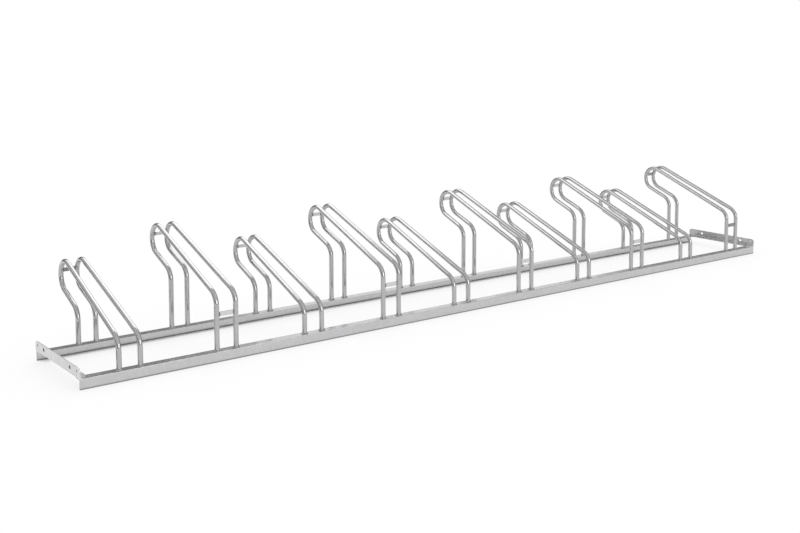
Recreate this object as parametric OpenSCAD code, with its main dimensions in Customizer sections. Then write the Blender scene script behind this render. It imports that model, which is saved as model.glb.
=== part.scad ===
// Floor bike rack: ten wheel holders in a row, low and high by turns, welded to a frame of steel angle.
// X runs along the row, the wheels come in from the front (-Y), and Z = 0 is the floor.
// The origin is at the middle of the whole rack's footprint.

/* [Row] */
// Number of wheel holders
holders = 10; // [2:1:10]
// Distance from one holder to the next
pitch = 350; // [250:5:400]
// From the left end of the frame to the middle of the first holder
left_margin = 174.5; // [90:0.5:200]
// From the middle of the last holder to the right end of the frame
right_margin = 167.5; // [90:0.5:200]

/* [Frame] */
// Depth of the frame, from the front rail's face to the rear rail's face
frame_depth = 390; // [320:1:450]
// Height and width of a rail's two flanges
rail_w = 35; // [30:0.5:50]
// Thickness of a rail's flanges
rail_t = 4; // [3:0.5:6]
// Outer rounding of an angle's heel
heel_r = 1.5; // [0.5:0.1:2.5]
// Inner rounding of an angle's root
root_r = 4; // [2:0.5:6]
// Rounding of a flange's toe
toe_r = 1.5; // [0.5:0.1:2.5]

/* [End angles] */
// Height of the upright flange above the rails
end_h = 35; // [28:0.5:45]
// Width of the flange that lies on the rails
end_w = 30.5; // [22:0.5:45]
// Thickness of the end angle's flanges
end_t = 4; // [3:0.5:5]
// How far the end angle stands out past the rails' ends
end_overhang = 1.5; // [0:0.5:3]
// Rounding of the upright flange's top corners
end_corner_r = 12; // [6:0.5:14]
// Where the lying flange's slanted end starts, from the outer face
cut_start = 7; // [6:0.5:12]
// How far the slanted end reaches along the flange
cut_depth = 26; // [15:0.5:40]
// Distance between the two bolt slots
slot_pitch = 234; // [150:1:280]
// Overall length of a bolt slot
slot_l = 16; // [13:0.5:25]
// Width of a bolt slot
slot_w = 11; // [8:0.5:12]
// From the upright flange's top edge down to the middle of a slot
slot_drop = 15; // [12:0.5:17]
// Distance between the two small holes
hole_pitch = 350; // [310:1:355]
// Diameter of a small hole
hole_d = 7; // [4:0.5:9]
// From the upright flange's top edge down to a small hole
hole_drop = 12.5; // [9:0.5:16]

/* [Holders] */
// Outside diameter of the tube
tube_d = 18; // [14:0.5:22]
// Wall of the tube
tube_wall = 2; // [1.5:0.1:3]
// Bend radius of the tube, to its centre line
bend_r = 54; // [45:0.5:60]
// Clear gap between a holder's two front legs
front_gap = 55; // [50:0.5:70]
// Clear gap between a holder's two rear legs
rear_gap = 45; // [42:0.5:48]
// Straight height of a low holder's front legs above the rail
low_leg = 61.4; // [40:0.1:120]
// How much higher a high holder is than a low one
high_lift = 90; // [60:1:150]
// Slope of the holder's back, in degrees
slope = 21.2; // [15:0.1:30]
// How far the head's tail stands behind the rear legs
head_reach = 157.5; // [130:0.5:200]
// Straight stretch between the head's two bends
tail_straight = 1; // [0.5:0.5:20]

/* [Crossbars] */
// Height of a crossbar
bar_h = 15; // [10:0.5:20]
// Thickness of a crossbar
bar_t = 5; // [3:0.5:8]
// How far round the head's bend the top bar sits, in degrees
top_bar_turn = 17; // [10:1:40]
// Height of a high holder's front bar above the rail
front_bar_rise = 124.5; // [100:0.5:140]

/* [Welds] */
// Leg length of a weld bead
bead = 3.2; // [2:0.1:4]
// Gap between a piece and what it is welded to
seat = 0.1; // [0.05:0.01:0.2]

/* [Hidden] */
// Facets of a full circle
circle_facets = 64;
// Overrun of every cut past the face that it opens
over = 1;
// A tube's straight runs lap over its bends, where bending has drawn the wall thinner by this much on each face
run_lap = 0.3;
bend_draw = 0.15;

tube_r = tube_d / 2;
bore_r = tube_r - tube_wall;
frame_len = (holders - 1) * pitch + left_margin + right_margin;
leg_span = frame_depth - rail_w;
front_half = front_gap / 2 + tube_r;
rear_half = rear_gap / 2 + tube_r;
toe_in = atan((front_half - rear_half) / leg_span);

// The rack reaches from the front rail's face to the heads behind the rear rail
rear_overhang = head_reach + tube_r - rail_w / 2;
frame_y = -rear_overhang / 2;
front_y = frame_y - frame_depth / 2;
front_leg_y = front_y + rail_w / 2;

// A tube's centre line in its own plane: distance back from the front leg, and height
side_bend = 90 - slope;
head_bend = 90 + slope;
side_tangent = bend_r * tan(side_bend / 2);
head_tangent = bend_r * tan(head_bend / 2);
rear_leg_s = leg_span / cos(toe_in);
head_s = (leg_span + head_reach) / cos(toe_in);
function lift(high) = high ? high_lift : 0;
function knee_z(high) = rail_w + low_leg + lift(high) + side_tangent;
function head_z(high) = knee_z(high) + head_s * tan(slope);
function tail_z(high) = head_z(high) - head_tangent - tail_straight - side_tangent;
function elbow_z(high) = tail_z(high) - (head_s - rear_leg_s) * tan(slope);
function tube_path(high) = [
    [0, rail_w],
    [0, knee_z(high)],
    [head_s, head_z(high)],
    [head_s, tail_z(high)],
    [rear_leg_s, elbow_z(high)],
    [rear_leg_s, rail_w]
];

// Half the spacing of a holder's tubes at a distance back from the front legs
function half_at(s) = front_half - s * sin(toe_in);
function is_high(i) = i % 2 == 1;
function holder_x(i) = -frame_len / 2 + left_margin + i * pitch;
function holder_name(i) = str("holder_", i + 1 < 10 ? "0" : "", i + 1);

// Where a top bar sits on the head's bend, in the tube's plane
function head_centre(high) = [head_s - bend_r, head_z(high) - head_tangent];
function top_bar_at(high) = head_centre(high) + bend_r * [cos(top_bar_turn), sin(top_bar_turn)];
front_bar_at = [0, rail_w + front_bar_rise];

all_holders = [for (i = [0 : holders - 1]) i];
high_holders = [for (i = all_holders) if (is_high(i)) i];

$fn = circle_facets;

// An angle's section: heel at the origin, one flange along x and the other along y
module angle_section(width, height, t) {
    difference() {
        union() {
            translate([0, heel_r]) square([t, height - heel_r]);
            translate([heel_r, 0]) square([width - heel_r, t]);
            translate([heel_r, heel_r]) circle(heel_r);
            translate([t, t]) square(root_r);
        }
        translate([t + root_r, t + root_r]) circle(root_r);
        translate([t - toe_r, height - toe_r]) corner_waste(toe_r);
        translate([width - toe_r, t - toe_r]) corner_waste(toe_r);
    }
}

// What rounding a square corner by a radius takes away
module corner_waste(r) {
    difference() {
        square(r + over);
        circle(r);
    }
}

// A rail with its heel up and outwards, at the front of the frame
module rail() {
    length = frame_len - 2 * end_overhang;
    translate([-length / 2, front_y, rail_w])
        mirror([0, 0, 1]) rotate([90, 0, 90])
            linear_extrude(length) angle_section(rail_w, rail_w, rail_t);
}

module front_rail() {
    color("silver") rail();
}

module rear_rail() {
    color("silver") translate([0, frame_y, 0]) mirror([0, 1, 0]) translate([0, -frame_y, 0]) rail();
}

// The left end angle, which lies across the rails with its upright flange outwards
module end_angle() {
    translate([-frame_len / 2, frame_y, rail_w]) difference() {
        translate([0, frame_depth / 2, 0]) rotate([90, 0, 0])
            linear_extrude(frame_depth) angle_section(end_w, end_h, end_t);
        for (side = [-1, 1]) {
            translate([0, side * slot_pitch / 2, end_h - slot_drop]) slot_cut();
            translate([0, side * hole_pitch / 2, end_h - hole_drop]) flange_cut() circle(d = hole_d);
            scale([1, side, 1]) {
                translate([0, frame_depth / 2 - end_corner_r, end_h - end_corner_r])
                    flange_cut() corner_waste(end_corner_r);
                translate([0, frame_depth / 2, -over]) linear_extrude(end_t + root_r + 2 * over)
                    slanted_end();
            }
        }
    }
}

// Cuts a shape drawn in Y and Z through the upright flange
module flange_cut() {
    translate([-over, 0, 0]) rotate([90, 0, 90]) linear_extrude(end_t + 2 * over) children();
}

module slot_cut() {
    flange_cut() union() {
        square([slot_l - slot_w, slot_w], center = true);
        for (side = [-1, 1]) translate([side * (slot_l - slot_w) / 2, 0]) circle(d = slot_w);
    }
}

// The corner that the slanted end takes off the lying flange, seen from above
module slanted_end() {
    polygon([
        [cut_start, over], [cut_start, 0], [end_w, -cut_depth],
        [end_w + over, -cut_depth], [end_w + over, over]
    ]);
}

module left_end_angle() {
    color("gainsboro") end_angle();
}

module right_end_angle() {
    color("gainsboro") mirror([1, 0, 0]) end_angle();
}

// Direction and length of the stretch after point i of a path
function heading(path, i) = atan2(path[i + 1][1] - path[i][1], path[i + 1][0] - path[i][0]);
function along(angle) = [cos(angle), sin(angle)];
function turn(path, i) = let (a = heading(path, i) - heading(path, i - 1))
    a > 180 ? a - 360 : a < -180 ? a + 360 : a;
function tangent(path, i) = i == 0 || i == len(path) - 1 ? 0 : bend_r * tan(abs(turn(path, i)) / 2);

// The tube's wall in section
module tube_section(draw) {
    difference() {
        circle(tube_r - draw);
        circle(bore_r + draw);
    }
}

// A tube bent along a path, in the plane of X and Z
module bent_tube(path) {
    last = len(path) - 2;
    for (i = [0 : last]) {
        angle = heading(path, i);
        lap_before = i == 0 ? 0 : run_lap;
        lap_after = i == last ? 0 : run_lap;
        start = path[i] + (tangent(path, i) - lap_before) * along(angle);
        run = norm(path[i + 1] - path[i]) - tangent(path, i) - tangent(path, i + 1);
        translate([start[0], 0, start[1]]) rotate([0, 90 - angle, 0])
            linear_extrude(run + lap_before + lap_after) tube_section(0);
    }
    for (i = [1 : last]) {
        before = heading(path, i - 1);
        side = sign(turn(path, i)) * 90;
        centre = path[i] - tangent(path, i) * along(before) + bend_r * along(before + side);
        first = min(before - side, before - side + turn(path, i));
        translate([centre[0], 0, centre[1]]) rotate([90, 0, 0]) rotate([0, 0, first])
            rotate_extrude(angle = abs(turn(path, i))) translate([bend_r, 0]) tube_section(bend_draw);
    }
}

// Puts what is drawn in a tube's plane at its place in a holder; side is -1 left, 1 right
module in_tube_plane(i, side) {
    translate([holder_x(i) + side * front_half, front_leg_y, 0]) rotate([0, 0, 90 + side * toe_in]) children();
}

module holder_tube(i, side) {
    color("lightgray") in_tube_plane(i, side) bent_tube(tube_path(is_high(i)));
}

// Puts what is drawn round the origin at a point between a holder's tubes, leaning back by an angle
module between_tubes(i, at, lean) {
    translate([holder_x(i), front_leg_y + at[0] * cos(toe_in), at[1]]) rotate([lean, 0, 0]) children();
}

// A flat bar that fills the gap between a holder's tubes
module crossbar(at) {
    length = 2 * (half_at(at[0]) - tube_r / cos(toe_in) - seat);
    cube([length, bar_t, bar_h], center = true);
}

module top_bar(i) {
    color("darkgray") between_tubes(i, top_bar_at(is_high(i)), top_bar_turn) crossbar(top_bar_at(is_high(i)));
}

module front_bar(i) {
    color("darkgray") between_tubes(i, front_bar_at, 0) crossbar(front_bar_at);
}

// The bead round a leg's foot, on the rail
module foot_bead() {
    rotate_extrude() translate([tube_r + seat, 0]) intersection() {
        circle(bead);
        square(bead);
    }
}

module foot_welds(s) {
    for (i = all_holders, side = [-1, 1])
        color("gray") in_tube_plane(i, side) translate([s, 0, rail_w]) foot_bead();
}

// The beads on the two faces of a crossbar's ends, each in the corner between the bar and the tube
module bar_end_beads(at) {
    reach = half_at(at[0]) - tube_r / cos(toe_in);
    for (side = [-1, 1], face = [-1, 1])
        translate([side * (reach - seat), face * bar_t / 2, 0])
            scale([side, face, 1]) rotate([0, 0, 90]) translate([0, 0, -bar_h / 2])
                linear_extrude(bar_h) polygon([[0, 0], [0, bead], [bead, 0]]);
}

module top_bar_welds() {
    for (i = all_holders) let (at = top_bar_at(is_high(i)))
        color("gray") between_tubes(i, at, top_bar_turn) bar_end_beads(at);
}

module front_bar_welds() {
    for (i = high_holders)
        color("gray") between_tubes(i, front_bar_at, 0) bar_end_beads(front_bar_at);
}

// The bead along an end angle's slanted end, on the rail
module corner_bead() {
    run = end_w - cut_start;
    length = norm([run, cut_depth]);
    translate([-frame_len / 2 + cut_start, frame_y + frame_depth / 2, rail_w])
        rotate([0, 0, -atan2(cut_depth, run)]) translate([bead, 0, 0]) rotate([90, 0, 90])
            linear_extrude(length - 2 * bead) polygon([[0, 0], [bead, 0], [0, bead]]);
}

module corner_welds() {
    for (end = [-1, 1], side = [-1, 1])
        color("gray") scale([-end, 1, 1]) translate([0, frame_y, 0]) scale([1, side, 1])
            translate([0, -frame_y, 0]) corner_bead();
}

front_rail();
rear_rail();
left_end_angle();
right_end_angle();
for (i = all_holders) holder_tube(i, -1);
for (i = all_holders) holder_tube(i, 1);
for (i = all_holders) top_bar(i);
for (i = high_holders) front_bar(i);
foot_welds(0);  // front_foot_welds
foot_welds(rear_leg_s);  // rear_foot_welds
top_bar_welds();
front_bar_welds();
corner_welds();
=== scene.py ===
"""Looks of a galvanised floor bike rack with ten wheel holders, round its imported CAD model.

Lengths are in metres. X runs along the row, the wheels come in from the front (-Y), and Z = 0 is
the floor.
"""

import math
import random

import bmesh
import bpy
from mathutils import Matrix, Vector


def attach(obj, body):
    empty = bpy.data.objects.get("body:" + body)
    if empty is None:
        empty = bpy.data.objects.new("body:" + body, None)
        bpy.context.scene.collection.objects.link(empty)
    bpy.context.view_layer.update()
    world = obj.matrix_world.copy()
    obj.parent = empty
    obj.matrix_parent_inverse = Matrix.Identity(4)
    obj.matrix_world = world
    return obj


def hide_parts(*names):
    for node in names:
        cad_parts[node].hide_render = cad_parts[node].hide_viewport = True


SEED = 11
MM = 0.001

# The camera looks down only a little, so that uprights stay all but upright, and its shift frames
# the rack
CAMERA_PLACE = (-2.97413, -3.49608, 1.11182)
CAMERA_YAW = math.radians(-37.131)
CAMERA_PITCH = math.radians(-5.195)
CAMERA_LENS = 49.315
CAMERA_SENSOR = 36
CAMERA_SHIFT = (0.01041, -0.17)

# Studio: a white world, a pale floor, a wide soft sun behind the rack, one light panel over it and
# one in front that only the metal sees, and grey cards out of the view. Directions are in degrees,
# azimuth 0 along +Y and 90 along +X.
WORLD_LEVEL = 1.0
FLOOR_REACH = 60
FLOOR_COLOUR = 0.87
# The floor's share of plain white where it is seen. It fades out close in under the steel, from
# the higher to the lower openness, as found within the reach.
FLOOR_LIFT = 0.75
CORNER_REACH = 0.05
CORNER_OPENNESS = (0.28, 0.50)
CORNER_SAMPLES = 8
SUN_AZIMUTH = 42
SUN_ELEVATION = 42
SUN_WIDTH = 50
SUN_STRENGTH = 0.75
# name, place, direction that it lies in (None straight up), width and depth, radiance
PANELS = (
    ("light_panel", (-0.6, 1.2, 1.7), None, (2.1, 1.5), 1.12),
    ("front_panel", (0.5, -7.2, 2.3), (175, 18), (8.5, 2.8), 1.1),
)
# Watts per square metre of a panel for a radiance of 1
PANEL_WATTS = 4
NEAR, FAR = 6, 40
CARD_STEP = 6
# name, distance, azimuth from and to, elevation from and to, grey
CARDS = (
    ("card_round", NEAR, -150, 150, 0, 5, 0.30),
    ("card_low", FAR, -150, -20, 3, 20, 0.34),
    ("card_low_back", FAR, -20, 28, 3, 27, 0.20),
    ("card_back", FAR, -150, -20, 20, 64, 0.80),
    ("card_high_back", FAR, -20, 24, 27, 64, 0.80),
    ("card_top", FAR, -180, 180, 64, 88, 0.74),
    ("card_right", FAR, 50, 150, 3, 18, 0.24),
    ("card_side", FAR, 50, 150, 18, 64, 0.74),
)

# Zinc. A layer of noise has a scale, a detail and a roughness. A share is that of the layer that it
# is named after, and a range is where in the layers the change lies.
ZINC_TINT = (0.996, 0.996, 1.012)
METALLIC = 0.92
# The crystals' outlines are pushed about: noises to a crystal, detail, and reach in crystals
PUSH_SCALE, PUSH_DETAIL, PUSH_REACH = 1.6, 2, 0.7
CLOUDS = (14, 5, 0.62)
RUNS = (60, 4, 0.6)
SKIN = (160, 4, 0.55)
CLOUD_SHARE, RUN_SHARE = 0.55, 0.3
TONE_RANGE = (0.30, 0.70)
GLOSS_CLOUD_SHARE = 0.5
GLOSS_RANGE = (0.2, 0.8)
SKIN_RUN_SHARE = 0.4
SKIN_HEIGHT = 0.6 * MM
# Bare, burnt-looking specks, as at a weld
SPECKS = (420, 3, 0.7)
SPECK_RANGE = (0.46, 0.62)
SPECK_GREY = 0.12
# Painted shade on the rails' lower edge: a dark grey band from the floor up, standing in for the
# contact shadow and its reflection
SHADED_EDGE_HEIGHTS = (3.5 * MM, 6 * MM)
EDGE_SHADE_GREY = 0.29
# Painted shade in the end angles' slots and holes: their walls, found by their place in the upright
# flanges, are drawn dark grey
CUT_ACROSS = (1.7422, 1.7458)
CUT_ALONG = (-0.262, 0.113)
CUT_HEIGHTS = (0.044, 0.0655)
HOLE_SHADE_GREY = 0.12

# How a finish's runs are drawn out, as scales along X, Y and Z
EVEN, ALONG_X, ALONG_Y, ALONG_Z = (1, 1, 1), (0.2, 1, 1), (1, 0.15, 1), (1, 1, 0.2)
ALONG_RAIL = (0.12, 1, 1)
# Greys are the darkest and the lightest, and roughness is the smoothest and the roughest
FINISHES = {
    # edge=True paints shade along the rails' lower edge
    "rail_zinc": dict(
        greys=(0.535, 0.58), spangle=11 * MM, roughness=(0.20, 0.27), bump=0.012,
        streak=ALONG_RAIL, edge=True,
    ),
    # cuts=True paints shade on the walls of the slots and holes
    "end_angle_zinc": dict(
        greys=(0.64, 0.71), spangle=12 * MM, roughness=(0.28, 0.42), bump=0.08,
        streak=ALONG_Y, hole_shade=True,
    ),
    "tube_zinc": dict(
        greys=(0.43, 0.49), spangle=6 * MM, roughness=(0.07, 0.13), bump=0.018, streak=ALONG_Z,
    ),
    "crossbar_zinc": dict(
        greys=(0.58, 0.66), spangle=7 * MM, roughness=(0.22, 0.36), bump=0.15, streak=ALONG_Y,
    ),
    "weld_zinc": dict(
        greys=(0.32, 0.48), spangle=3 * MM, roughness=(0.30, 0.55), bump=0.5, soot=0.35,
    ),
    # Painted shade: a darker copy of end_angle_zinc
    "shaded_end_zinc": dict(
        greys=(0.44, 0.56), spangle=14 * MM, roughness=(0.28, 0.42), bump=0.08,
        streak=ALONG_Y, hole_shade=True,
    ),
    # Painted shade: a darker copy of crossbar_zinc
    "shaded_crossbar_zinc": dict(
        greys=(0.26, 0.34), spangle=7 * MM, roughness=(0.25, 0.40), bump=0.15, streak=ALONG_X,
    ),
    # Painted light: a lighter copy of weld_zinc, for the corner beads
    "lit_weld_zinc": dict(
        greys=(0.52, 0.66), spangle=3 * MM, roughness=(0.25, 0.42), bump=0.4, soot=0.12,
    ),
}
SLOT_FINISHES = {
    "rail_steel": "rail_zinc",
    "end_angle_steel": "end_angle_zinc",
    "tube_steel": "tube_zinc",
    "crossbar_steel": "crossbar_zinc",
    "weld_metal": "weld_zinc",
}
# Painted shade: darker copies of their kind's finish, for the nodes that look darker than the
# others of their kind
SHADED_COPIES = {
    "right_end_angle": "shaded_end_zinc",
    "holder_10_front_bar": "shaded_crossbar_zinc",
    "holder_10_top_bar": "shaded_crossbar_zinc",
    "holder_01_top_bar": "shaded_crossbar_zinc",
}

# Weld beads. Each scale is as long as the pitch, and a second wave runs along them.
TUBE_RADIUS = 9 * MM
BEAD_SWELL = 1.18
BEAD_RIPPLE = 0.10
BEAD_RIPPLE_PITCH = 2.1 * MM
WAVE_SHARE, WAVE_TURN, WAVE_PHASE = 0.5, 2.3, 5
BEAD_SINK = 0.35 * MM
BEAD_ARC = 7
BEAD_FLATTENING = 0.16
# Straight beads: how the size varies, and how an end tapers
STRAIGHT_SIZES = (0.92, 1.04)
BEAD_STEP = 0.7 * MM
BEAD_STEPS_LEAST = 8
TAPER_LEAST, TAPER_POWER = 0.25, 5
# Beads round a tube: how the size varies from bead to bead, and round each
RING_SIZES = (0.94, 1.05)
RING_STEPS = 72
RING_WAVE, RING_WAVE_PHASE = 0.06, 6
# Reading a bead's plain prism: the digits in which its corners agree, the difference below which
# two edges are the same, and the edges along it, each counted both ways
MERGE_DIGITS = 6
SAME_EDGE = 1e-5
EDGES_ALONG = 6


def grey(level):
    return (level, level, level, 1)


def zinc(level):
    """Zinc's grey, a little blue."""
    return (*(level * tint for tint in ZINC_TINT), 1)


class Tree:
    """The nodes of a new material. add and noise return a node, and the others its outputs."""

    def __init__(self, name):
        self.material = bpy.data.materials.new(name)
        self.material.use_nodes = True
        self.nodes = self.material.node_tree.nodes
        self.link = self.material.node_tree.links.new
        self.nodes.clear()

    def add(self, kind, **values):
        """A node of this kind. in_NAME or in_NUMBER sets an input, anything else a setting."""
        made = self.nodes.new(kind)
        for name, value in values.items():
            if name.startswith("in_"):
                key = name[3:]
                socket = int(key) if key.isdigit() else key.replace("_", " ")
                made.inputs[socket].default_value = value
            else:
                setattr(made, name, value)
        return made

    def maths(self, operation, *terms):
        """A maths node over terms, each an output or a number."""
        made = self.add("ShaderNodeMath", operation=operation)
        for socket, term in zip(made.inputs, terms):
            if isinstance(term, (int, float)):
                socket.default_value = term
            else:
                self.link(term, socket)
        return made.outputs[0]

    def band(self, value, low, high):
        """1 where a value lies between two limits, else 0."""
        above, below = self.maths("GREATER_THAN", value, low), self.maths("LESS_THAN", value, high)
        return self.maths("MULTIPLY", above, below)

    def ranged(self, value, limits, start, end):
        """From start to end while a value goes from one limit to the other, and no further."""
        made = self.add("ShaderNodeMapRange", in_1=limits[0], in_2=limits[1], in_3=start, in_4=end)
        self.link(value, made.inputs[0])
        return made.outputs[0]

    def mixed(self, a, b, share):
        made = self.add("ShaderNodeMix", data_type="FLOAT", in_0=share)
        self.link(a, made.inputs[2])
        self.link(b, made.inputs[3])
        return made.outputs[0]

    def greyed(self, colour, share, level):
        """A colour with an even grey mixed into it."""
        made = self.add("ShaderNodeMix", data_type="RGBA", in_7=grey(level))
        self.link(share, made.inputs[0])
        self.link(colour, made.inputs[6])
        return made.outputs[2]

    def noise(self, place, scale, detail, roughness=0.5):
        made = self.add(
            "ShaderNodeTexNoise", in_Scale=scale, in_Detail=detail, in_Roughness=roughness
        )
        self.link(place, made.inputs["Vector"])
        return made

    def parts(self, place):
        """The X, Y and Z of a place."""
        made = self.add("ShaderNodeSeparateXYZ")
        self.link(place, made.inputs[0])
        return made.outputs

    def crystals(self, place, size):
        """Two random values for each crystal. A fine noise keeps the outlines from looking cut."""
        push = self.noise(place, PUSH_SCALE / size, PUSH_DETAIL)
        offset = self.add("ShaderNodeVectorMath", operation="SCALE", in_Scale=size * PUSH_REACH)
        self.link(push.outputs["Color"], offset.inputs[0])
        pushed = self.add("ShaderNodeVectorMath", operation="ADD")
        self.link(place, pushed.inputs[0])
        self.link(offset.outputs[0], pushed.inputs[1])
        cells = self.add("ShaderNodeTexVoronoi", in_Scale=1 / size)
        self.link(pushed.outputs[0], cells.inputs["Vector"])
        made = self.add("ShaderNodeSeparateColor")
        self.link(cells.outputs["Color"], made.inputs[0])
        return made.outputs[0], made.outputs[1]

    def finished(self, shader):
        """The material, with this shader on its output."""
        self.link(shader.outputs[0], self.add("ShaderNodeOutputMaterial").inputs[0])
        return self.material


def steel(name, greys, spangle, roughness, bump, streak=EVEN, soot=0.0, hole_shade=False, edge=False):
    """Hot-dip zinc: crystals with soft outlines, clouds, faint runs and a slightly uneven skin."""
    tree = Tree(name)
    place = tree.add("ShaderNodeTexCoord").outputs["Object"]
    tone, shine = tree.crystals(place, spangle)
    clouds = tree.noise(place, *CLOUDS).outputs["Fac"]
    stretched = tree.add("ShaderNodeMapping", in_Scale=streak)
    tree.link(place, stretched.inputs["Vector"])
    runs = tree.noise(stretched.outputs[0], *RUNS).outputs["Fac"]

    tone = tree.mixed(tree.mixed(tone, clouds, CLOUD_SHARE), runs, RUN_SHARE)
    ramp = tree.add("ShaderNodeValToRGB")
    for stop, position, level in zip(ramp.color_ramp.elements, TONE_RANGE, greys):
        stop.position, stop.color = position, zinc(level)
    tree.link(tone, ramp.inputs[0])
    colour = ramp.outputs[0]

    if soot:
        specks = tree.noise(place, *SPECKS).outputs["Fac"]
        colour = tree.greyed(colour, tree.ranged(specks, SPECK_RANGE, 0, soot), SPECK_GREY)
    # Painted shade: the rails turn dark grey towards their lower edge, standing in for the contact
    # shadow
    if edge:
        height = tree.parts(place)[2]
        colour = tree.greyed(colour, tree.ranged(height, SHADED_EDGE_HEIGHTS, 1, 0), EDGE_SHADE_GREY)
    # Painted shade: the walls of the end angles' slots and holes are greyed dark
    if hole_shade:
        x, y, z = tree.parts(place)
        across = tree.band(tree.maths("ABSOLUTE", x), *CUT_ACROSS)
        inside = tree.maths("MULTIPLY", across, tree.band(z, *CUT_HEIGHTS))
        inside = tree.maths("MULTIPLY", inside, tree.band(y, *CUT_ALONG))
        colour = tree.greyed(colour, inside, HOLE_SHADE_GREY)

    shine = tree.mixed(shine, clouds, GLOSS_CLOUD_SHARE)
    skin = tree.noise(place, *SKIN).outputs["Fac"]
    uneven = tree.add("ShaderNodeBump", in_Strength=bump, in_Distance=SKIN_HEIGHT)
    tree.link(tree.mixed(skin, runs, SKIN_RUN_SHARE), uneven.inputs["Height"])

    shader = tree.add("ShaderNodeBsdfPrincipled", in_Metallic=METALLIC)
    tree.link(colour, shader.inputs["Base Color"])
    tree.link(tree.ranged(shine, GLOSS_RANGE, *roughness), shader.inputs["Roughness"])
    tree.link(uneven.outputs[0], shader.inputs["Normal"])
    return tree.finished(shader)


def plain(name, level, lift=0):
    """A matt grey, for the floor and the cards.

    Seen directly or in the metal, lift is its share of plain white. Close in under the steel,
    where little light comes in, it has none and stays dark.
    """
    tree = Tree(name)
    shader = tree.add("ShaderNodeBsdfDiffuse", in_Color=grey(level))
    if lift:
        ray = tree.add("ShaderNodeLightPath").outputs
        seen = tree.maths("MAXIMUM", ray["Is Camera Ray"], ray["Is Glossy Ray"])
        seen = tree.maths("MAXIMUM", seen, ray["Is Transmission Ray"])
        openness = tree.add(
            "ShaderNodeAmbientOcclusion", in_Distance=CORNER_REACH, samples=CORNER_SAMPLES
        )
        share = tree.ranged(openness.outputs["AO"], CORNER_OPENNESS, 0, lift)
        mix = tree.add("ShaderNodeMixShader")
        tree.link(tree.maths("MULTIPLY", seen, share), mix.inputs[0])
        tree.link(shader.outputs[0], mix.inputs[1])
        tree.link(tree.add("ShaderNodeEmission", in_Color=grey(1)).outputs[0], mix.inputs[2])
        shader = mix
    tree.material.cycles.emission_sampling = "NONE"
    return tree.finished(shader)


def new_piece(name, mesh_maker, *details):
    """A piece whose mesh mesh_maker makes, from an empty bmesh and these details."""
    bm = bmesh.new()
    mesh_maker(bm, *details)
    bmesh.ops.recalc_face_normals(bm, faces=bm.faces)
    mesh = bpy.data.meshes.new(name)
    bm.to_mesh(mesh)
    bm.free()
    mesh.shade_smooth()
    made = bpy.data.objects.new(name, mesh)
    bpy.context.scene.collection.objects.link(made)
    return made


def islands(node):
    """The separate solids of a CAD node, each as a list of its corner points."""
    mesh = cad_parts[node].data
    point_of, points, index_of = [], [], {}
    for vertex in mesh.vertices:
        key = tuple(round(c, MERGE_DIGITS) for c in vertex.co)
        if key not in index_of:
            index_of[key] = len(points)
            points.append(vertex.co.copy())
        point_of.append(index_of[key])
    parent = list(range(len(points)))

    def root(i):
        while parent[i] != i:
            parent[i] = parent[parent[i]]
            i = parent[i]
        return i

    for polygon in mesh.polygons:
        first = root(point_of[polygon.vertices[0]])
        for v in polygon.vertices[1:]:
            parent[root(point_of[v])] = first
    groups = {}
    for i, point in enumerate(points):
        groups.setdefault(root(i), []).append(point)
    return list(groups.values())


def ripple(distance, phase):
    """How a bead swells and pinches along its run, as overlapping scales."""
    turn = (distance / BEAD_RIPPLE_PITCH + phase) % 1.0
    wave = math.sin(WAVE_TURN * distance / BEAD_RIPPLE_PITCH + WAVE_PHASE * phase)
    return 1 - BEAD_RIPPLE * turn**2 + BEAD_RIPPLE * WAVE_SHARE * wave


def skin_over(bm, rings, closed):
    """Joins rows of points into a closed solid; each row is a section of the bead."""
    rows = [[bm.verts.new(p) for p in ring] for ring in rings]
    count = len(rows)
    for k in range(count if closed else count - 1):
        a, b = rows[k], rows[(k + 1) % count]
        for j in range(len(a)):
            i = (j + 1) % len(a)
            bm.faces.new((a[j], a[i], b[i], b[j]))
    if not closed:
        bm.faces.new(rows[0])
        bm.faces.new(list(reversed(rows[-1])))


def section(corner, u, v, size):
    """A bead's section in the corner between two legs.

    It is the corner itself, sunk in a little, and a flattened arc from leg to leg.
    """
    points = [corner - (u + v) * BEAD_SINK]
    points.append(corner + u * size - v * BEAD_SINK)
    for k in range(BEAD_ARC + 1):
        a = math.pi / 2 * k / BEAD_ARC
        bulge = 1 - BEAD_FLATTENING * math.sin(2 * a)
        points.append(corner + (u * math.cos(a) + v * math.sin(a)) * size * bulge)
    points.append(corner + v * size - u * BEAD_SINK)
    return points


def prism_axis(points, centre):
    """The direction of a prism's long edges: the longest that all the edges along it share."""
    far = max((p - centre).length for p in points)
    edges = sorted(
        ((b - a) for a in points for b in points if a is not b), key=lambda edge: edge.length
    )
    for edge in reversed(edges):
        same = [
            other for other in edges
            if (other - edge).length < SAME_EDGE or (other + edge).length < SAME_EDGE
        ]
        if len(same) >= EDGES_ALONG and edge.length > far:
            return edge.normalized()


def right_corner(triangle):
    """A triangle's corner nearest to square, and its two sides from there."""
    best = None
    for i in range(3):
        a, b, c = triangle[i], triangle[(i + 1) % 3], triangle[(i + 2) % 3]
        square = abs((b - a).normalized().dot((c - a).normalized()))
        if best is None or square < best[0]:
            best = (square, a, (b - a), (c - a))
    return best[1:]


def corner_line(points):
    """The inner edge of a bead's plain prism, from end to end, its two legs and their length."""
    centre = sum(points, Vector()) / len(points)
    axis = prism_axis(points, centre)
    low = sorted(points, key=lambda p: (p - centre).dot(axis))
    start, u, v = right_corner(low[:3])
    end = right_corner(low[3:])[0]
    return start, end, u.normalized(), v.normalized(), u.length


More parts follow.
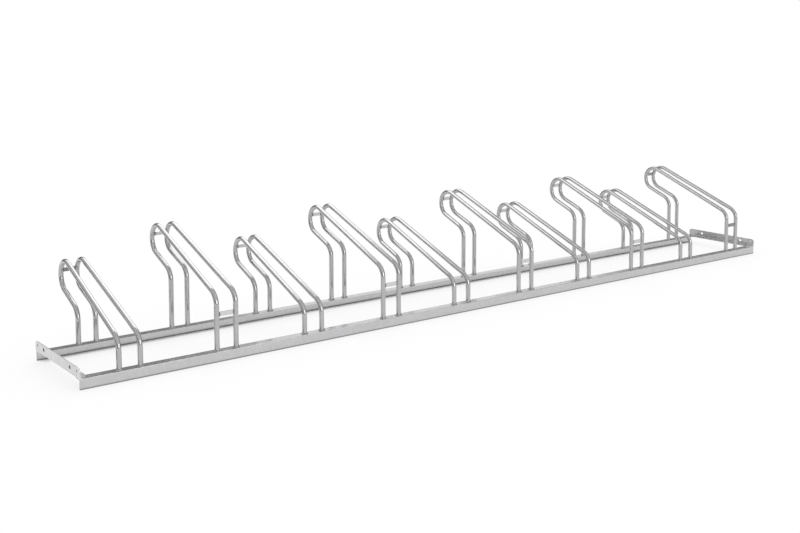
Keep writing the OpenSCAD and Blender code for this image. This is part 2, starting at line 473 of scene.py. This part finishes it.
def straight_beads(bm, node):
    for points in islands(node):
        start, end, u, v, leg = corner_line(points)
        run = end - start
        steps = max(BEAD_STEPS_LEAST, round(run.length / BEAD_STEP))
        phase, size = draws.random(), leg * BEAD_SWELL * draws.uniform(*STRAIGHT_SIZES)
        rings = []
        for k in range(steps + 1):
            s = k / steps
            taper = max(TAPER_LEAST, (1 - abs(2 * s - 1) ** TAPER_POWER) ** 0.5)
            wide = size * taper * ripple(run.length * s, phase)
            rings.append(section(start + run * s, u, v, wide))
        skin_over(bm, rings, False)


def ring_beads(bm, node):
    up = Vector((0, 0, 1))
    scales = round(2 * math.pi * TUBE_RADIUS / BEAD_RIPPLE_PITCH)
    for points in islands(node):
        low, high = (Vector(limit(p[i] for p in points) for i in range(3)) for limit in (min, max))
        middle = (low + high) / 2
        foot = Vector((middle.x, middle.y, low.z))
        leg, phase = (high.z - low.z) * BEAD_SWELL * draws.uniform(*RING_SIZES), draws.random()
        rings = []
        for k in range(RING_STEPS):
            a = 2 * math.pi * k / RING_STEPS
            out = Vector((math.cos(a), math.sin(a), 0))
            wave = ripple(scales * BEAD_RIPPLE_PITCH * k / RING_STEPS, phase)
            wave += RING_WAVE * math.sin(a + RING_WAVE_PHASE * phase)
            rings.append(section(foot + out * TUBE_RADIUS, out, up, leg * wave))
        skin_over(bm, rings, True)


def build_welds(finishes):
    """The rippled beads. The corner beads take a lighter copy of the weld finish, as painted light.
    """
    for node, maker, finish in (
        ("front_foot_welds", ring_beads, "weld_zinc"),
        ("rear_foot_welds", ring_beads, "weld_zinc"),
        ("top_bar_welds", straight_beads, "weld_zinc"),
        ("front_bar_welds", straight_beads, "weld_zinc"),
        ("corner_welds", straight_beads, "lit_weld_zinc"),
    ):
        piece = new_piece(node.replace("welds", "beads"), maker, node)
        piece.data.materials.append(finishes[finish])
        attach(piece, "root")
        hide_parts(node)


def dress_nodes(finishes):
    for name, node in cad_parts.items():
        for holder in node.material_slots:
            slot = holder.material.name.split(".")[0]
            # Some nodes take a darker copy of their finish, as painted shade
            holder.material = finishes[SHADED_COPIES.get(name, SLOT_FINISHES[slot])]


def build_camera():
    data = bpy.data.cameras.new("camera")
    data.lens, data.sensor_width, data.sensor_fit = CAMERA_LENS, CAMERA_SENSOR, "HORIZONTAL"
    data.shift_x, data.shift_y = CAMERA_SHIFT
    data.clip_end = 2 * FLOOR_REACH
    camera = bpy.data.objects.new("camera", data)
    camera.location = CAMERA_PLACE
    camera.rotation_euler = (math.pi / 2 + CAMERA_PITCH, 0, CAMERA_YAW)
    bpy.context.scene.collection.objects.link(camera)
    bpy.context.scene.camera = camera


def towards(azimuth, elevation):
    a, e = math.radians(azimuth), math.radians(elevation)
    return Vector((math.sin(a) * math.cos(e), math.cos(a) * math.cos(e), math.sin(e)))


def facing(direction):
    """The rotation of a lamp that lies in a direction and shines back."""
    return direction.to_track_quat("Z", "Y").to_euler()


def card_patch(bm, distance, az0, az1, el0, el1):
    """A patch of a sphere round the origin, between two azimuths and two elevations."""
    columns = max(1, round((az1 - az0) / CARD_STEP))
    rows = max(1, round((el1 - el0) / CARD_STEP))
    grid = []
    for j in range(rows + 1):
        elevation = el0 + (el1 - el0) * j / rows
        azimuths = [az0 + (az1 - az0) * i / columns for i in range(columns + 1)]
        grid.append([bm.verts.new(towards(a, elevation) * distance) for a in azimuths])
    for lower, upper in zip(grid, grid[1:]):
        for i in range(columns):
            bm.faces.new((lower[i], lower[i + 1], upper[i + 1], upper[i]))


def build_card(name, distance, az0, az1, el0, el1, level):
    """A curved grey card that only the metal's reflections see."""
    card = new_piece(name, card_patch, distance, az0, az1, el0, el1)
    card.data.materials.append(plain(name + "_grey", level))
    card.visible_camera = card.visible_diffuse = False
    card.visible_shadow = card.visible_transmission = False


def floor_plane(bm):
    corners = ((-1, -1), (1, -1), (1, 1), (-1, 1))
    bm.faces.new([bm.verts.new((x * FLOOR_REACH, y * FLOOR_REACH, 0)) for x, y in corners])


def place_lamp(data, place):
    lamp = bpy.data.objects.new(data.name, data)
    lamp.location = place
    lamp.visible_camera = False
    bpy.context.scene.collection.objects.link(lamp)
    return lamp


def build_world():
    world = bpy.data.worlds.new("studio")
    world.use_nodes = True
    background = world.node_tree.nodes["Background"]
    background.inputs[0].default_value = grey(1)
    background.inputs[1].default_value = WORLD_LEVEL
    world.cycles.sampling_method = "NONE"
    bpy.context.scene.world = world


def build_sun():
    sun = bpy.data.lights.new("soft_sun", "SUN")
    sun.energy, sun.angle = SUN_STRENGTH, math.radians(SUN_WIDTH)
    direction = towards(SUN_AZIMUTH, SUN_ELEVATION)
    lamp = place_lamp(sun, direction)
    lamp.rotation_euler = facing(direction)
    lamp.visible_glossy = False


def build_panel(name, place, lies, size, radiance):
    """A light panel that only the metal's reflections see."""
    wide, deep = size
    panel = bpy.data.lights.new(name, "AREA")
    panel.shape, panel.size, panel.size_y = "RECTANGLE", wide, deep
    panel.energy = radiance * PANEL_WATTS * wide * deep
    lamp = place_lamp(panel, place)
    lamp.visible_diffuse = False
    if lies:
        lamp.rotation_euler = facing(towards(*lies))


def build_studio():
    floor = new_piece("floor", floor_plane)
    floor.data.materials.append(plain("floor_white", FLOOR_COLOUR, FLOOR_LIFT))
    for row in CARDS:
        build_card(*row)
    build_world()
    build_sun()
    for row in PANELS:
        build_panel(*row)


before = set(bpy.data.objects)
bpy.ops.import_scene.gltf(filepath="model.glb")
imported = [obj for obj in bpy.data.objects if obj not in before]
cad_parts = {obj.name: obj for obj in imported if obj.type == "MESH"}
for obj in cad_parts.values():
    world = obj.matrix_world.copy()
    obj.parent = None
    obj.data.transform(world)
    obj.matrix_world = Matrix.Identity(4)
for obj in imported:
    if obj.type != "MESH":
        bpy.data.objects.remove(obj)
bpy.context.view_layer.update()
draws = random.Random(SEED)
bpy.context.scene.view_settings.view_transform = "Standard"

build_camera()
build_studio()
finishes = {name: steel(name, **values) for name, values in FINISHES.items()}
dress_nodes(finishes)
build_welds(finishes)
